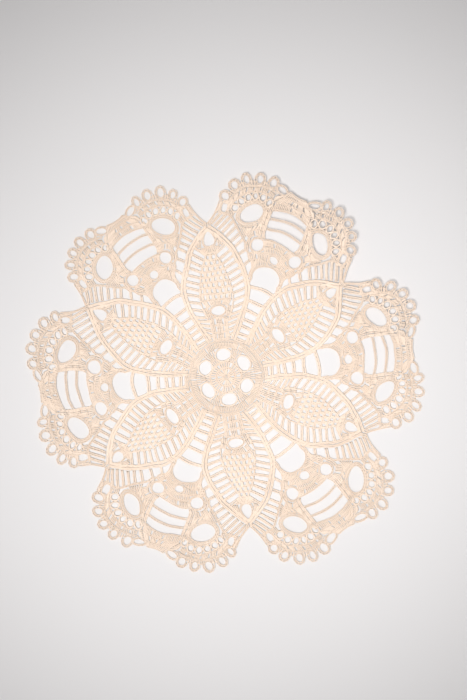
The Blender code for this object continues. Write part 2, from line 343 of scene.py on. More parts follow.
def oval(x, y, width, height, tilt, off, first=-90.0, last=270.0, steps=12):
    """Points on an oval that stands off by a distance from an oval gap, between two turns."""
    angles = np.radians(np.linspace(first, last, steps + 1))
    across = (width / 2.0 + off) * np.cos(angles)
    along = (height / 2.0 + off) * np.sin(angles)
    return turned(np.stack([across, along], axis=1), tilt) + (x, y)


def ring(x, y, width, height, tilt=0.0, rise=0.0, off=CHAIN_HALF, wide=CHAIN_WIDTH):
    """A closed chain round an oval gap of that width and height."""
    return chain(oval(x, y, width, height, tilt, off), rise, PITCH, wide)


def bow(half_width, height, stand, steps=4):
    """Points from right to left along a shallow arch, whose middle stands off by a distance."""
    start = np.array([half_width, height])
    run = np.array([-half_width, height]) - start
    normal = np.array([-run[1], run[0]]) / np.hypot(*run)
    shares = np.linspace(0.0, 1.0, steps + 1)
    return [start + run * t + normal * stand * 4.0 * t * (1.0 - t) for t in shares]


def arch(height, drop, half_width, steps=8):
    """Points from right to left along a parabola, highest in the middle."""
    shares = np.linspace(1.0, -1.0, steps + 1)
    return [(half_width * t, height - drop * t * t) for t in shares]


def curve(points):
    """A Catmull-Rom curve through the points, in small steps."""
    points = np.asarray(points, float)
    if len(points) == 2:
        length = np.hypot(*(points[1] - points[0]))
        shares = np.linspace(0.0, 1.0, max(3, int(length / CURVE_STEP)))
        return points[0] + (points[1] - points[0]) * shares[:, None]
    padded = np.vstack([2 * points[0] - points[1], points, 2 * points[-1] - points[-2]])
    if np.hypot(*(points[0] - points[-1])) < TINY:
        padded[0] = points[-2]
        padded[-1] = points[1]
    pieces = []
    for a, b, c, d in zip(padded, padded[1:], padded[2:], padded[3:]):
        steps = max(3, int(np.hypot(*(c - b)) / CURVE_STEP))
        t = np.linspace(0.0, 1.0, steps, endpoint=False)[:, None]
        linear = (c - a) * t
        square = (2 * a - 5 * b + 4 * c - d) * t**2
        cube = (3 * b - a - 3 * c + d) * t**3
        pieces.append(0.5 * (2 * b + linear + square + cube))
    return np.vstack(pieces + [points[-1:]])


def distances(steps):
    """How far each point lies along a line, from the lengths of the steps between them."""
    return np.concatenate([[0.0], np.cumsum(steps)])


def evenly(points, count):
    """So many points at equal distances along a smooth curve."""
    line = curve(points)
    length = distances(np.hypot(*np.diff(line, axis=0).T))
    at = np.linspace(0.0, length[-1], count)
    return np.stack([np.interp(at, length, line[:, 0]), np.interp(at, length, line[:, 1])], axis=1)


def length_of(points):
    """The length of the smooth curve through the points."""
    return float(np.hypot(*np.diff(curve(points), axis=0).T).sum())


def row(feet, heads, edge=True, skipped=()):
    """Posts side by side from one curve to another, with a chain along their heads."""
    count = max(2, round((length_of(feet) + length_of(heads)) / 2.0 / POST_PITCH) + 1)
    low = evenly(feet, count)
    high = evenly(heads, count)
    strands = []
    for index, (foot, head) in enumerate(zip(low, high)):
        if index not in skipped:
            strands.append(post(foot, head))
    if edge:
        strands.append(chain(heads, HEAD_RISE))
    return strands


def directions(line):
    """The unit directions in which a plane line runs at its points."""
    run = np.gradient(np.asarray(line, float), axis=0)
    return run / np.hypot(run[:, 0], run[:, 1])[:, None]


def normals(line):
    """The unit directions to the right of a plane line's run."""
    run = directions(line)
    return np.stack([run[:, 1], -run[:, 0]], axis=1)


def offset(points, distance):
    """A curve moved sideways, to the right of its run."""
    return np.asarray(points, float) + distance * normals(points)


def columns(path, offsets, rise=0.0):
    """Columns of posts stacked end to end beside a path."""
    path = evenly(path, max(3, int(length_of(path) / COLUMN_STEP)))
    count = max(1, round(length_of(path) / POST_LENGTH))
    strands = []
    for distance in offsets:
        joints = evenly(offset(path, distance), count + 1)
        strands += [post(foot, head, rise) for foot, head in zip(joints, joints[1:])]
    return strands


def mirrored(strands):
    """The same strands on the other side of the middle line."""
    return [(kind, [(-x, y) for x, y in points], *rest) for kind, points, *rest in strands]


def both(strands):
    """The strands and their mirror images."""
    return strands + mirrored(strands)


# ---------------------------------------------------------------- the middle

# A hole is x, y, width, height and, where it leans, tilt.
MIDDLE_HOLE = (0.0, 17.9, 11.4, 9.6)
MIDDLE_HOLE_EDGE = 0.75
DISC_WIDE = 0.8
DISC_RINGS = (
    # radius, steps of its curve, rise, length of its stitches
    (1.3, 6, 0.0, PITCH),
    (6.9, 24, 0.15, 2.3),
    (12.0, 24, 0.15, PITCH),
)
DISC_ROUNDS = (
    # from radius, to radius, the feet's directions in a sixth, and the heads' share of those
    (1.9, 6.6, (-18.0, 0.0, 18.0), 0.85),
    (7.0, 11.8, (-22.0, -11.0, 0.0, 11.0, 22.0), 0.95),
)
SPOKE_ROWS = (
    # from radius, to radius, and how far off the spoke's middle each post stands, in degrees
    (12.6, 14.2, (-14.0, 14.0)),
    (12.6, 16.2, (-6.5, 0.0, 6.5)),
    (16.0, 20.2, (-4.2, 0.0, 4.2)),
    (20.0, 23.8, (-11.0, -6.6, -2.2, 2.2, 6.6, 11.0)),
)
ROUND_FROM = 23.8
ROUND_TO = 28.4
ROUND_SPREAD = 27.6
MIDDLE_RADIUS = 29.4


def spoke_point(radius, direction):
    """A point in the petal frame, its direction counted clockwise from the petal's middle."""
    angle = math.radians(direction)
    return radius * math.sin(angle), radius * math.cos(angle)


def round_arc(radius, spread, steps=6):
    """Points on an arc round the doily's middle, to both sides of the petal's middle."""
    return [spoke_point(radius, angle) for angle in np.linspace(-spread, spread, steps + 1)]


def round_ring(radius, steps):
    """Points on a whole circle round the doily's middle."""
    return [spoke_point(radius, angle) for angle in np.linspace(0.0, 360.0, steps + 1)]


def middle_disc():
    """The doily's dense middle: three rings of chain and two rounds of posts."""
    strands = []
    for radius, steps, rise, pitch in DISC_RINGS:
        strands.append(chain(round_ring(radius, steps), rise, pitch))
    for sector in range(SECTORS):
        petal = 2.0 * HALF_SECTOR * sector
        for near, far, offs, share in DISC_ROUNDS:
            for off in offs:
                foot = spoke_point(near, petal + off)
                strands.append(post(foot, spoke_point(far, petal + share * off), wide=DISC_WIDE))
    return strands


def middle_ring():
    """Around the disc, in one sector of the petal frame: a hole's edge, a spoke and a round."""
    strands = [cord(oval(*MIDDLE_HOLE, 0.0, MIDDLE_HOLE_EDGE), rise=0.2)]
    for near, far, offs in SPOKE_ROWS:
        for off in offs:
            foot = spoke_point(near, HALF_SECTOR + off)
            strands.append(post(foot, spoke_point(far, HALF_SECTOR + off), rise=0.05))
    feet = round_arc(ROUND_FROM, ROUND_SPREAD)
    strands += row(feet, round_arc(ROUND_TO, ROUND_SPREAD), edge=False)
    strands.append(chain(round_arc(MIDDLE_RADIUS, HALF_SECTOR, 8), rise=0.3))
    return strands


# ---------------------------------------------------------------- petals

RAIL_CORDS = (-1.66, -0.68, 0.68, 1.66)
RAIL_WIDE = 0.74
RAIL_EDGE = 2.3
RAIL_RISE = 0.1
RAIL_FOOT = (9.6, 29.2)
RAIL_POINTS = 50
RAIL_TIP = ((1.0, 119.0), (0.6, 122.6))

PETAL_BARS = (
    # height at the pineapple, height at the rail
    (49.0, 50.5),
    (54.5, 56.5),
    (60.0, 62.5),
    (65.2, 68.3),
    (70.2, 73.8),
    (75.0, 79.0),
    (79.8, 84.2),
    (84.5, 89.2),
    (89.0, 94.2),
    (93.4, 99.2),
    (97.6, 103.8),
)
BAR_OUT = 0.5
PINEAPPLE_EDGE = 0.2

MESH_ROWS = (
    # height, dots left open, distance between two
    (95.6, 2, 4.4),
    (91.2, 3, 4.3),
    (86.8, 4, 4.3),
    (82.4, 5, 4.2),
    (78.0, 6, 4.1),
    (73.6, 5, 4.4),
    (69.2, 6, 4.3),
    (64.8, 5, 4.5),
)
MESH_HALF_ROW = 2.2
MESH_MARGIN = 0.5
MESH_POST = 0.86
MESH_CORD = 0.68
MESH_CORDS = (-0.6, 0.6)
MESH_WAVE = 0.4
MESH_WAVE_STEPS = 4.0
# Every third place in a row is a dot, and the two posts between dots stand closer together.
DOT_EVERY = 3
DOT_SHIFTS = (0.0, 0.17, -0.17)

BASE_HOLE = (0.0, 53.4, 12.0, 7.4)
# A bow is half width, height and how far its middle stands off.
BASE_FEET = (8.6, 56.4, -2.6)
BASE_HEADS = (12.4, 61.8, -0.8)
BASE_GAPS = (5, 14)
BASE_SIDE = ((7.0, 48.2), (8.4, 52.5), (10.0, 57.0))

STEM_FOOT = 30.0
STEM_TOP = 47.5
STEM_MIDDLE = ((0.7, STEM_FOOT), (0.7, 48.3))
STEM_SIDE = ((5.2, STEM_FOOT), (5.4, 38.0), (6.0, STEM_TOP))
STEM_EDGE = 6.4
STEM_ROUNDS = (30.6, 35.9, 41.4, STEM_TOP)
STEM_BAR_FROM = 6.2
STEM_BARS = (
    # height at the stem, height at the rail
    (33.0, 34.4),
    (36.8, 38.6),
    (40.8, 42.8),
    (44.8, 46.8),
)

TIP_HOLE = ((0.0, 103.0), (3.8, 104.4), (4.7, 108.6), (2.9, 113.4), (0.0, 116.6))
TIP_SIDE = ((7.4, 103.6), (7.0, 107.6), (4.2, 113.0))
TIP_FEET = ((4.4, 97.8), (0.0, 98.4), (-4.4, 97.8))
TIP_HEADS = ((8.0, 102.2), (0.0, 102.6), (-8.0, 102.2))


def rail_join(height):
    """Where a bar joins a petal's rail, a little past its inner edge, at a height."""
    return row_width(RAIL_ROWS, height) - RAIL_EDGE + BAR_OUT, height


def rail():
    """Half of a petal's rail: two pairs of cords with a groove between."""
    path = [RAIL_FOOT] + [(half_width, height) for height, half_width in RAIL_ROWS]
    path = evenly(path, RAIL_POINTS)
    strands = [cord(offset(path, side), RAIL_RISE, RAIL_WIDE) for side in RAIL_CORDS]
    strands += columns(RAIL_TIP, offsets=(0.0, 1.5), rise=RAIL_RISE)
    return strands


def petal_ladder():
    """Bars from the pineapple's edge to the rail, on one side."""
    strands = []
    for inner, outer in PETAL_BARS:
        strands += bar((row_width(PINEAPPLE_ROWS, inner) + BAR_OUT, inner), rail_join(outer))
    return strands


def pineapple_edge():
    """The column of posts at the pineapple's edge, on one side."""
    path = [(half_width + PINEAPPLE_EDGE, height) for height, half_width in PINEAPPLE_ROWS]
    return columns(path, offsets=(0.0,), rise=0.15)


def mesh_wave(height, dots, pitch):
    """The waved line along the top of a row of the mesh, highest over each open dot."""
    high = height + MESH_HALF_ROW
    edge = row_width(PINEAPPLE_ROWS, high)
    steps = max(5, round(2.0 * MESH_WAVE_STEPS * edge / pitch))
    x = np.linspace(edge, -edge, steps + 1)
    phase = 2.0 * math.pi * (x / pitch + (dots - 1) / 2.0)
    return np.stack([x, high + MESH_WAVE * np.cos(phase)], axis=1)


def mesh_posts(height, dots, pitch):
    """One row of the mesh: short posts with a dot left open at every third one."""
    step = pitch / DOT_EVERY
    last = DOT_EVERY * (dots - 1)
    half_width = row_width(PINEAPPLE_ROWS, height)
    beyond = int((half_width - MESH_MARGIN - step * last / 2.0) / step)
    strands = []
    for place in range(-beyond, last + beyond + 1):
        if place % DOT_EVERY or not 0 <= place <= last:
            x = step * (place - last / 2.0) + DOT_SHIFTS[place % DOT_EVERY]
            foot = (x, height - MESH_HALF_ROW)
            head = (x, height + MESH_HALF_ROW)
            strands.append(post(foot, head, rise=0.05, wide=MESH_POST))
    return strands


def pineapple_mesh():
    """The pineapple's rows of posts, each with a pair of waved cords over it."""
    strands = []
    for height, dots, pitch in MESH_ROWS:
        strands += mesh_posts(height, dots, pitch)
        wave = mesh_wave(height, dots, pitch)
        strands += [cord(offset(wave, side), wide=MESH_CORD) for side in MESH_CORDS]
    return strands


def pineapple_base():
    """The dense fan of posts under the mesh, and the round hole below it."""
    return row(bow(*BASE_FEET), bow(*BASE_HEADS), True, BASE_GAPS) + [ring(*BASE_HOLE)]


def base_sides():
    """Posts between the round hole and the pineapple's edge, on one side."""
    return columns(BASE_SIDE, offsets=(-0.4, 0.9, 2.2))


def stem():
    """Upright columns between the middle ring and the pineapple, on one side."""
    strands = columns(STEM_MIDDLE, offsets=(0.0, 1.3))
    strands += columns(STEM_SIDE, offsets=(-1.0, 0.3, 1.5))
    for height in STEM_ROUNDS:
        strands.append(chain([(0.0, height), (STEM_EDGE, height)], rise=0.2))
    return strands


def stem_sides():
    """Bars from the stem to the rail, on one side."""
    strands = []
    for inner, outer in STEM_BARS:
        strands += bar((STEM_BAR_FROM, inner), rail_join(outer))
    return strands


def petal_tip():
    """The drop-shaped hole under the tip, and the posts beside it, on one side."""
    return [chain(TIP_HOLE, rise=0.1)] + columns(TIP_SIDE, offsets=(-0.2, 1.1, 2.3))


def tip_fan():
    """The fan of posts from the mesh's last row to the hole under the tip."""
    return row(TIP_FEET, TIP_HEADS)


def petal():
    """All strands of one petal."""
    half = rail() + petal_ladder() + pineapple_edge() + base_sides() + stem() + stem_sides()
    return both(half + petal_tip()) + pineapple_mesh() + pineapple_base() + tip_fan()


# ---------------------------------------------------------------- fans

BIG_HOLE = (0.0, 83.4, 21.6, 17.6)
CROWN_HOLE = (0.0, 98.8, 6.6, 5.6)
ROUND_HOLE = (16.4, 104.6, 9.4, 9.4)
LOBE_HOLE = (30.0, 125.4, 19.0, 12.2, -45.0)
SIDE_HOLE = (52.6, 122.4, 4.4, 8.4, -4.0)
NOTCH_HOLE = (14.2, 151.0, 8.6, 4.0, 16.0)

# The ladder below the big hole.
FAN_BARS = (
    # height, half width between the rails, how far the bar's middle stands off
    (31.9, 3.4, 0.0),
    (36.4, 4.2, 0.0),
    (42.4, 4.2, 0.0),
    (47.9, 4.4, 0.0),
    (54.9, 4.8, 0.0),
    (62.9, 6.2, 0.0),
    (73.6, 9.4, -1.4),
)
FAN_BAR_INTO = 0.8
FAN_BAR_CORDS = (-0.72, 0.72)

# The crown over the big hole. An arc runs from one angle to another round its hole.
CROWN_FOOT = (11.8, 76.0)
CROWN_ARC = (-18.0, 198.0)
WING_ARC = (10.0, 78.0)
WING_FOOT_OFF = 1.6
WING_MIDDLE = ((15.4, 91.8), (12.8, 94.4), (8.6, 95.8), (4.6, 95.4))
WING_HEADS = ((20.2, 96.4), (17.0, 98.2), (11.6, 98.8), (7.8, 101.4), (5.0, 102.0))
WING_GAPS = (4,)
WING_SEAM = ((12.8, 94.0), (8.8, 95.2))

# The block of arches, the three slots and the band over them. An arch is height, drop and
# half width.
BLOCK_EDGE = (103.4, 4.0, 7.4)
BLOCK_ROWS = (
    # arch at the feet, arch at the heads, posts left out
    ((103.6, 3.4, 8.0), (107.2, 2.6, 10.2), ()),
    ((108.0, 2.2, 10.2), (112.0, 2.0, 13.6), (4, 12)),
)
SLOT_ARCHES = ((121.5, 2.4, 15.6), (130.1, 2.8, 15.6))
SLOT_SIDE = ((16.2, 110.8), (16.9, 116.0), (17.2, 122.0), (17.2, 130.0), (16.2, 138.2))
SLOT_SEAM = ((13.4, 111.2), (15.4, 114.4), (15.8, 122.0), (15.8, 134.8))
TOP_ARCHES = (
    (137.9, 3.0, 14.8),
    (142.8, 2.0, 14.6),
    (147.4, 0.4, 10.2),
    (150.9, -1.0, 7.4),
)
TOP_GAPS = ((6, 14), (4, 9, 13), ())

# Beside the round hole, and from it to the lobe's hole.
ROUND_SIDE = ((22.0, 98.4), (23.8, 101.6), (24.2, 107.0))
ROUND_FEET = ((24.0, 106.6), (22.4, 109.4), (20.2, 111.0), (18.2, 111.4))
ROUND_MIDDLE = ((28.6, 109.2), (26.2, 112.8), (22.8, 115.2), (19.8, 116.0))
ROUND_GAPS = (5,)
ROUND_UPPER_ARC = (300.0, 246.0)
ROUND_UPPER_GAPS = (3, 6)

# Round the lobe's hole: its second cord, and the posts that meet it.
CORD_STEP = 1.75
LOBE_MARGIN = 0.9
LOBE_EDGE = CHAIN_HALF + CORD_STEP + LOBE_MARGIN
LOBE_FEET = ((28.8, 106.4), (33.0, 109.6), (36.6, 112.8))
LOBE_HEADS_ARC = (302.0, 334.0)
LOBE_SIDE = ((44.6, 118.4), (44.8, 122.0))

# The ladder between the petal's rail and the fan, and the fan's side.
LADDER_ROWS = (
    # x and y at the rail, x and y at the fan's body
    (20.6, 86.6, 17.6, 91.8),
    (27.2, 92.8, 23.8, 98.2),
    (33.4, 97.2, 29.2, 104.8),
    (38.0, 99.4, 33.4, 107.8),
    (42.4, 101.2, 37.4, 111.2),
    (46.8, 102.6, 41.2, 114.4),
    (50.8, 103.8, 45.2, 117.2),
    (54.6, 105.0, 49.4, 117.8),
    (57.8, 106.0, 53.6, 117.4),
)
BODY_EDGE = (
    (13.0, 79.6),
    (13.2, 83.0),
    (13.2, 88.4),
    (15.6, 91.6),
    (19.0, 93.8),
    (20.8, 97.0),
    (24.2, 99.0),
    (25.8, 102.6),
    (29.2, 105.2),
    (33.4, 108.4),
    (37.4, 111.8),
    (41.4, 115.2),
    (45.4, 117.8),
    (51.0, 118.0),
    (58.0, 117.2),
)
SIDE_EDGE = ((60.2, 105.8), (59.0, 111.6), (58.2, 117.4), (58.2, 125.4))
SIDE_COLUMN = ((56.8, 118.0), (57.0, 126.4))

# The round of small rings outside a lobe's hole, and the posts from it to the rim, of which
# every fifth is left out.
EYE_ARC = (50.0, 172.0)
EYE_OFF = 7.0
EYE_COUNT = 6
EYE = (5.2, 4.0)
EYE_EDGE = 0.75
EYE_CHAIN_ARC = (38.0, 164.0)
EYE_CHAIN_OFF = 11.1
RIM_POSTS_ARC = (44.0, 172.0)
RIM_POSTS_OFF = 11.5
RIM_POSTS_FIRST = (50.4, 127.4)
RIM_POSTS_LAST = (16.6, 144.8)
RIM_POSTS_UNDER = 2.9
RIM_POSTS_GAPS = range(4, 40, 5)
CORNER_FEET = ((16.0, 139.8), (13.4, 143.2), (11.0, 147.0))
CORNER_HEADS = ((18.6, 140.8), (16.4, 145.2))

# The rim's loops, the chain that they stand on, and the posts between two loops.
LOOP_GAP_ACROSS = 5.0
LOOP_GAP_ALONG = 6.4
LOOP_OFF = 1.1
LOOP_CHAIN = 1.0
RIM_CHAIN_FIRST = (53.2, 125.6)
RIM_CHAIN_LAST = (17.4, 147.4)
RIM_CHAIN_UNDER = 1.9
JOIN_FOOT_IN = 4.4
JOIN_FOOT_OUT = 1.0
JOIN_HEAD_IN = 0.4
JOIN_HEAD_OUT = 0.6


def hole_arc(first, last, off=CHAIN_HALF, steps=8):
    """Points along the big hole's edge, angles counted from its right side."""
    return oval(*BIG_HOLE, 0.0, off, first, last, steps)


def lobe_arc(first, last, off=LOBE_EDGE, steps=6):
    """Points beside the lobe hole's cords, angles counted from the hole's long axis."""
    return oval(*LOBE_HOLE, off, first, last, steps)


def fan_ladder():
    """Bars between the two rails below the big hole, each a pair of cords."""
    strands = []
    for height, half_width, stand in FAN_BARS:
        points = bow(half_width + FAN_BAR_INTO, height, stand)
        strands += [cord(offset(points, side)) for side in FAN_BAR_CORDS]
    return strands


def crown():
    """The chain over the big hole, the small hole above it and the wings beside that."""
    foot_x, foot_y = CROWN_FOOT
    edge = [CROWN_FOOT, *hole_arc(*CROWN_ARC, steps=14), (-foot_x, foot_y)]
    strands = [chain(edge, rise=0.2), ring(*CROWN_HOLE, rise=0.1)]
    wing = row(hole_arc(*WING_ARC, WING_FOOT_OFF), WING_MIDDLE, edge=False)
    wing += row(WING_MIDDLE, WING_HEADS, True, WING_GAPS)
    wing.append(chain(WING_SEAM, rise=0.2))
    return strands + both(wing)


def block():
    """Nested arches between the two round holes, under the first slot."""
    strands = [chain(arch(*BLOCK_EDGE), rise=0.1)]
    for low, high, gaps in BLOCK_ROWS:
        strands += row(arch(*low), arch(*high), True, gaps)
    return strands


def slot_chains():
    """The two arched chains that part the three slots."""
    return [chain(arch(*slot), rise=0.1, width=WIDE_CHAIN) for slot in SLOT_ARCHES]


def top_band():
    """Rounds of posts between the last slot and the notch."""
    strands = [chain(arch(*TOP_ARCHES[0]), rise=0.1)]
    for low, high, gaps in zip(TOP_ARCHES, TOP_ARCHES[1:], TOP_GAPS):
        strands += row(arch(*low), arch(*high), True, gaps)
    return strands


def slot_sides():
    """Columns beside the slots' ends, on one side."""
    return columns(SLOT_SIDE, offsets=(-1.6, -0.3, 1.0, 2.2)) + [chain(SLOT_SEAM, rise=0.15)]


def round_hole():
    """The round hole's edge and the posts around it, on one side."""
    strands = [ring(*ROUND_HOLE, rise=0.1)]
    strands += columns(ROUND_SIDE, offsets=(-0.5, 0.9))
    strands += row(ROUND_FEET, ROUND_MIDDLE, True, ROUND_GAPS)
    strands += row(ROUND_MIDDLE, lobe_arc(*ROUND_UPPER_ARC), False, ROUND_UPPER_GAPS)
    return strands


def lobe_hole():
    """The lobe hole's edge, a double cord, and the posts below it, on one side."""
    strands = [ring(*LOBE_HOLE, rise=0.25)]
    strands.append(ring(*LOBE_HOLE, rise=0.1, off=CHAIN_HALF + CORD_STEP))
    strands += row(LOBE_FEET, lobe_arc(*LOBE_HEADS_ARC), edge=False)
    strands += columns(LOBE_SIDE, offsets=(-0.8, 0.6, 2.0, 3.4))
    return strands


def outer_ladder():
    """Bars from the petal's rail to the fan's body, and the body's edge, on one side."""
    strands = []
    for x, y, far_x, far_y in LADDER_ROWS:
        strands += bar((x, y), (far_x, far_y))
    strands.append(chain(BODY_EDGE, rise=0.15))
    return strands


def side_edge():
    """The scallop's side, from the petal's tip to its first loop, on one side."""
    strands = [chain(SIDE_EDGE, rise=0.1), ring(*SIDE_HOLE)]
    return strands + columns(SIDE_COLUMN, offsets=(0.0,))


def direction_of(vector):
    """A plane vector's direction, in degrees."""
    return math.degrees(math.atan2(vector[1], vector[0]))


def eyes():
    """The round of small worked rings outside the lobe's hole, on one side."""
    centres = evenly(lobe_arc(*EYE_ARC, EYE_OFF), EYE_COUNT)
    strands = []
    for (x, y), away in zip(centres, normals(centres)):
        strands.append(cord(oval(x, y, *EYE, direction_of(away), EYE_EDGE), rise=0.05))
    strands.append(chain(lobe_arc(*EYE_CHAIN_ARC, EYE_CHAIN_OFF, 8), rise=0.1))
    return strands


def under_loops(distance):
    """A point below each rim loop's gap, so far in from it."""
    return list(np.array(RIM_LOOPS) - normals(RIM_LOOPS) * (LOOP_GAP_ALONG / 2.0 + distance))


def rim_posts():
    """The posts from the round of small rings to the rim, on one side."""
    feet = lobe_arc(*RIM_POSTS_ARC, RIM_POSTS_OFF, 8)
    heads = [RIM_POSTS_FIRST, *under_loops(RIM_POSTS_UNDER), RIM_POSTS_LAST]
    return row(feet, heads, False, RIM_POSTS_GAPS) + row(CORNER_FEET, CORNER_HEADS, edge=False)


def rim_loops():
    """The loops at the lobe's rim and the chain that they stand on, on one side."""
    strands = []
    for (x, y), away in zip(RIM_LOOPS, normals(RIM_LOOPS)):
        hole = (x, y, LOOP_GAP_ALONG, LOOP_GAP_ACROSS, direction_of(away))
        strands.append(ring(*hole, rise=0.1, off=LOOP_OFF, wide=LOOP_CHAIN))
    feet = [RIM_CHAIN_FIRST, *under_loops(RIM_CHAIN_UNDER), RIM_CHAIN_LAST]
    strands.append(chain(feet, rise=0.15))
    return strands


def loop_joins():
    """A pair of short posts between each two loops, on one side."""
    centres = np.array(RIM_LOOPS)
    strands = []
    for before, after in zip(centres, centres[1:]):
        middle = (before + after) / 2.0
        run = (after - before) / np.hypot(*(after - before))
        inward = np.array([-run[1], run[0]])
        for side in (-1.0, 1.0):
            foot = middle + inward * JOIN_FOOT_IN + run * side * JOIN_FOOT_OUT
            head = middle + inward * JOIN_HEAD_IN + run * side * JOIN_HEAD_OUT
            strands.append(post(foot, head))
    return strands


def notch_hole():
    """The hole beside the notch, on one side."""
    return [ring(*NOTCH_HOLE, rise=0.1)]


def fan():
    """All strands of one fan."""
    half = slot_sides() + round_hole() + lobe_hole() + outer_ladder() + side_edge()
    half += eyes() + rim_posts() + rim_loops() + loop_joins() + notch_hole()
    return fan_ladder() + crown() + block() + slot_chains() + top_band() + both(half)


# ---------------------------------------------------------------- thread


def placed(line, along, across):
    """Plane points at distances along and across a curve, which runs on straight past its end."""
    length = distances(np.hypot(*np.diff(line, axis=0).T))
    run = directions(line)
    x = np.interp(along, length, line[:, 0])
    y = np.interp(along, length, line[:, 1])
    run_x = np.interp(along, length, run[:, 0])
    run_y = np.interp(along, length, run[:, 1])
    beyond = along - np.clip(along, 0.0, length[-1])
    return np.stack([x + run_x * beyond - run_y * across, y + run_y * beyond + run_x * across], 1)


def chain_thread(line, pitch, width):
    """The thread of a chain along a laid curve: plane points and heights."""
    length = distances(np.hypot(*np.diff(line, axis=0).T))[-1]
    count = max(1, round(length / pitch))
    step = length / count
    path = np.array(STITCH_PATH)
    along = (np.arange(count)[:, None] + path[:, 0]).ravel() * step
    across = np.tile(path[:, 1] * width, count)
    up = np.tile(path[:, 2] * CHAIN_HEIGHT, count)
    return placed(line, along, across), up


def post_centre(line):
    """The middle line of a post or cord along a laid curve: plane points and heights."""
    length = distances(np.hypot(*np.diff(line, axis=0).T))[-1]
    along = np.linspace(0.0, length, max(LEAST_RINGS, round(length / POST_STEP) + 1))
    level = np.zeros_like(along)
    return placed(line, along, level), level


def tube(points, sides, across, thick, turn):
    """Rings of vertices round a line: points by sides by 3, the oval section turning as it runs."""
    run = np.gradient(points, axis=0)
    far = distances(np.linalg.norm(np.diff(points, axis=0), axis=1))
    run /= np.linalg.norm(run, axis=1)[:, None]
    side = np.stack([run[:, 1], -run[:, 0], np.zeros(len(run))], axis=1)
    side /= np.maximum(np.linalg.norm(side, axis=1), TINY)[:, None]
    top = np.cross(side, run)
    angles = 2.0 * math.pi * np.arange(sides) / sides
    turns = (rng.uniform(0.0, START_SPREAD) + far[:, None]) * 2.0 * math.pi * turn
    wide, narrow = across * np.cos(angles), thick * np.sin(angles)
    x = wide * np.cos(turns) - narrow * np.sin(turns)
    y = wide * np.sin(turns) + narrow * np.cos(turns)
    return points[:, None] + side[:, None] * x[:, :, None] + top[:, None] * y[:, :, None]


def strand_rings(strand, degrees):
    """A strand's rings of vertices, in place, in millimetres."""
    kind, points, rise, pitch, width = strand
    points = np.asarray(points, float)
    loose = points + rng.normal(0.0, UNEVEN, points.shape)
    if np.hypot(*(points[0] - points[-1])) < TINY:
        loose[-1] = loose[0]
    line = wandered(laid(curve(loose), degrees))
    plane, up = chain_thread(line, pitch, width) if kind == "chain" else post_centre(line)
    points = np.column_stack([plane, lift(plane) + BASE_HEIGHT + rise + up])
    if kind == "chain":
        return tube(points, THREAD_SIDES, THREAD_RADIUS, THREAD_RADIUS, 0.0)
    return tube(points, POST_SIDES, width, POST_FLATNESS * width, POST_TURN)


def tube_faces(first, count, sides):
    """The faces round a tube of so many rings, whose vertices start at first."""
    around = np.arange(sides)
    after = (around + 1) % sides
    base = first + sides * np.arange(count - 1)[:, None]
    corners = [base + around, base + after, base + sides + after, base + sides + around]
    return np.stack(corners, axis=2).reshape(-1, 4)


def tube_uvs(rings):
    """The same faces' UVs: the share of a turn round the tube, and millimetres along it."""
    count, sides, _ = rings.shape
    far = distances(np.linalg.norm(np.diff(rings.mean(axis=1), axis=0), axis=1))
    low = np.broadcast_to(far[:-1, None], (count - 1, sides))
    high = np.broadcast_to(far[1:, None], (count - 1, sides))
    left = np.broadcast_to(np.arange(sides) / sides, (count - 1, sides))
    right = left + 1.0 / sides
    corners = [left, low, right, low, right, high, left, high]
    return np.stack(corners, axis=2).reshape(-1, 8)


def filled_mesh(name, vertices, quads, quad_uvs, caps):
    """A smooth mesh of four-cornered faces with UVs, and of caps with none."""
    cap_loops = np.concatenate(caps)
    loops = np.concatenate([quads.ravel(), cap_loops])
    sizes = np.concatenate([np.full(len(quads), 4), [len(cap) for cap in caps]])
    mesh = bpy.data.meshes.new(name)
    mesh.vertices.add(len(vertices))
    mesh.vertices.foreach_set("co", vertices.ravel())
    mesh.loops.add(len(loops))
    mesh.loops.foreach_set("vertex_index", loops.astype(np.int32))
    mesh.polygons.add(len(sizes))
    mesh.polygons.foreach_set("loop_start", (np.cumsum(sizes) - sizes).astype(np.int32))
    mesh.polygons.foreach_set("loop_total", sizes.astype(np.int32))
    mesh.polygons.foreach_set("use_smooth", np.ones(len(sizes), bool))
    uv = mesh.uv_layers.new(name=THREAD_UV)
    flat = np.concatenate([quad_uvs.ravel(), np.zeros(len(cap_loops) * 2)])
    uv.data.foreach_set("uv", flat.astype(np.float32))
    mesh.update(calc_edges=True)
    mesh.validate()
    return mesh


def thread_mesh(name, tubes):
    """One mesh of many closed tubes, from millimetres, with a UV map of turn and distance."""
    quads = []
    caps = []
    first = 0
    for rings in tubes:
        count, sides, _ = rings.shape
        around = np.arange(sides)
        quads.append(tube_faces(first, count, sides))
        caps.append(first + around[::-1])
        caps.append(first + sides * (count - 1) + around)
        first += sides * count
    vertices = np.vstack([rings.reshape(-1, 3) for rings in tubes]) * MM
    quad_uvs = np.vstack([tube_uvs(rings) for rings in tubes])
    return filled_mesh(name, vertices, np.vstack(quads), quad_uvs, caps)


# ---------------------------------------------------------------- materials

COTTON_DARK = (0.862, 0.702, 0.572, 1.0)
COTTON_LIGHT = (0.898, 0.754, 0.635, 1.0)
COTTON_SURFACE = {
    "Roughness": 0.8,
    "Sheen Weight": 0.15,
    "Sheen Roughness": 0.6,
    "Specular IOR Level": 0.3,
}
TONE_SCALE = 45.0
TONE_DETAIL = 4.0
TONE_FROM = 0.3
TONE_TO = 0.7
THREAD_UV = "thread"
PLIES = 2
TWIST = 0.7  # turns of the plies for each millimetre of strand
TWIST_STRENGTH = 0.5
TWIST_DEPTH = 0.00008
FLOOR_COLOUR = (0.72, 0.705, 0.705, 1.0)
FLOOR_ROUGHNESS = 0.9


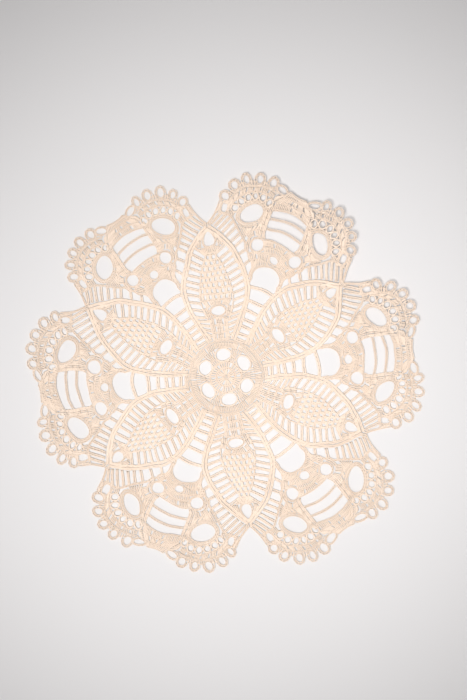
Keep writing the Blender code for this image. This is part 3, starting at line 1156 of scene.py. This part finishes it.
def add_math(nodes, operation, value=None):
    """A Math node, with its second number where it has one."""
    node = nodes.new("ShaderNodeMath")
    node.operation = operation
    if value is not None:
        node.inputs[1].default_value = value
    return node


def add_tone(nodes, links, shader):
    """Cream that drifts a little between two tones over the cloth."""
    place = nodes.new("ShaderNodeTexCoord")
    tone = nodes.new("ShaderNodeTexNoise")
    tone.inputs["Scale"].default_value = TONE_SCALE
    tone.inputs["Detail"].default_value = TONE_DETAIL
    ramp = nodes.new("ShaderNodeValToRGB")
    low, high = ramp.color_ramp.elements
    low.position = TONE_FROM
    low.color = COTTON_DARK
    high.position = TONE_TO
    high.color = COTTON_LIGHT
    links.new(place.outputs["Object"], tone.inputs["Vector"])
    links.new(tone.outputs["Fac"], ramp.inputs["Fac"])
    links.new(ramp.outputs["Color"], shader.inputs["Base Color"])


def add_twist(nodes, links, shader):
    """Bumps of the plies that are wound round each other, along each strand's own UV map."""
    thread = nodes.new("ShaderNodeUVMap")
    thread.uv_map = THREAD_UV
    split = nodes.new("ShaderNodeSeparateXYZ")
    twist = add_math(nodes, "MULTIPLY_ADD", TWIST)
    wave = add_math(nodes, "MULTIPLY", 2.0 * math.pi * PLIES)
    sine = add_math(nodes, "SINE")
    bump = nodes.new("ShaderNodeBump")
    bump.inputs["Strength"].default_value = TWIST_STRENGTH
    bump.inputs["Distance"].default_value = TWIST_DEPTH
    links.new(thread.outputs["UV"], split.inputs["Vector"])
    links.new(split.outputs["Y"], twist.inputs[0])
    links.new(split.outputs["X"], twist.inputs[2])
    links.new(twist.outputs["Value"], wave.inputs[0])
    links.new(wave.outputs["Value"], sine.inputs[0])
    links.new(sine.outputs["Value"], bump.inputs["Height"])
    links.new(bump.outputs["Normal"], shader.inputs["Normal"])


def cotton():
    """Cream mercerised cotton: two plies wound round each other, slightly uneven in tone."""
    material = bpy.data.materials.new("cream_cotton")
    material.use_nodes = True
    nodes = material.node_tree.nodes
    links = material.node_tree.links
    shader = nodes["Principled BSDF"]
    for socket, value in COTTON_SURFACE.items():
        shader.inputs[socket].default_value = value
    add_tone(nodes, links, shader)
    add_twist(nodes, links, shader)
    return material


def paper():
    """The plain pale surface under the doily."""
    material = bpy.data.materials.new("pale_paper")
    material.use_nodes = True
    shader = material.node_tree.nodes["Principled BSDF"]
    shader.inputs["Base Color"].default_value = FLOOR_COLOUR
    shader.inputs["Roughness"].default_value = FLOOR_ROUGHNESS
    return material


# ---------------------------------------------------------------- stage, in metres

FLOOR_SIZE = 4.0
VIEW_HEIGHT = 0.56
SENSOR_HEIGHT = 36.0  # the camera's, in millimetres, as its lens is
CAMERA_PLACE = (0.0060, 0.0216, 1.6)
WORLD_COLOUR = (1.0, 0.98, 0.98, 1.0)
WORLD_STRENGTH = 0.22
SPOTS = (
    # name, place, what it points at, power in watts, cone in degrees, radius of the lamp
    ("key", (-0.336, -0.306, 1.7), (-0.036, -0.016, 0.0), 89.4, 34.5, 0.22),
    ("overhead", (0.10, 0.012, 1.9), (0.10, 0.0121, 0.0), 130.0, 21.4, 0.35),
)


def lay_floor():
    """The surface that the doily lies on."""
    bpy.ops.mesh.primitive_plane_add(size=FLOOR_SIZE)
    floor = bpy.context.object
    floor.name = "floor"
    floor.data.materials.append(paper())


def add_camera():
    """The photograph's camera: straight overhead, looking down."""
    camera = bpy.data.objects.new("camera", bpy.data.cameras.new("camera"))
    camera.data.sensor_fit = "VERTICAL"
    camera.data.sensor_height = SENSOR_HEIGHT
    camera.data.lens = SENSOR_HEIGHT * CAMERA_PLACE[2] / VIEW_HEIGHT
    camera.location = CAMERA_PLACE
    bpy.context.scene.collection.objects.link(camera)
    bpy.context.scene.camera = camera


def add_spot(name, place, aim, power, spread, radius):
    """A soft round pool of light on the floor."""
    light = bpy.data.lights.new(name, "SPOT")
    light.energy = power
    light.spot_size = math.radians(spread)
    light.spot_blend = 1.0
    light.shadow_soft_size = radius
    holder = bpy.data.objects.new(name, light)
    holder.location = place
    holder.rotation_euler = (Vector(aim) - Vector(place)).to_track_quat("-Z", "Y").to_euler()
    bpy.context.scene.collection.objects.link(holder)


def light_up():
    """A dim even world, a key light from the lower left and a soft light overhead."""
    world = bpy.data.worlds.new("studio")
    bpy.context.scene.world = world
    world.use_nodes = True
    background = world.node_tree.nodes["Background"]
    background.inputs["Color"].default_value = WORLD_COLOUR
    background.inputs["Strength"].default_value = WORLD_STRENGTH
    for spot in SPOTS:
        add_spot(*spot)


# ---------------------------------------------------------------- assembly, in metres


def dress(name, placed_strands, material):
    """One joined mesh of strands, each with its turn, attached to the root body, with the imported
    sheet hidden.
    """
    tubes = [strand_rings(strand, degrees) for strand, degrees in placed_strands]
    mesh = thread_mesh(name, tubes)
    mesh.materials.append(material)
    piece = bpy.data.objects.new(name, mesh)
    bpy.context.scene.collection.objects.link(piece)
    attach(piece, "root")
    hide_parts("doily")
    triangles = sum(len(face.vertices) - 2 for face in mesh.polygons)
    print(f"{name}: {len(tubes)} strands, {triangles} triangles")


def dress_middle(material):
    """The round middle of the lace."""
    strands = [(strand, petal_angle(0)) for strand in middle_disc()]
    for sector in range(SECTORS):
        strands += [(strand, petal_angle(sector)) for strand in middle_ring()]
    dress("lace_middle", strands, material)


def dress_sectors(material):
    """Six sectors of a petal and a fan each."""
    petal_strands = petal()
    fan_strands = fan()
    for sector in range(SECTORS):
        turn = petal_angle(sector)
        strands = [(strand, turn) for strand in petal_strands]
        strands += [(strand, turn + HALF_SECTOR) for strand in fan_strands]
        dress(f"lace_sector_{sector + 1}", strands, material)


def main():
    """The lace, the surface under it, the camera and the lights."""
    bpy.context.scene.view_settings.view_transform = "Standard"
    material = cotton()
    dress_middle(material)
    dress_sectors(material)
    lay_floor()
    add_camera()
    light_up()


main()
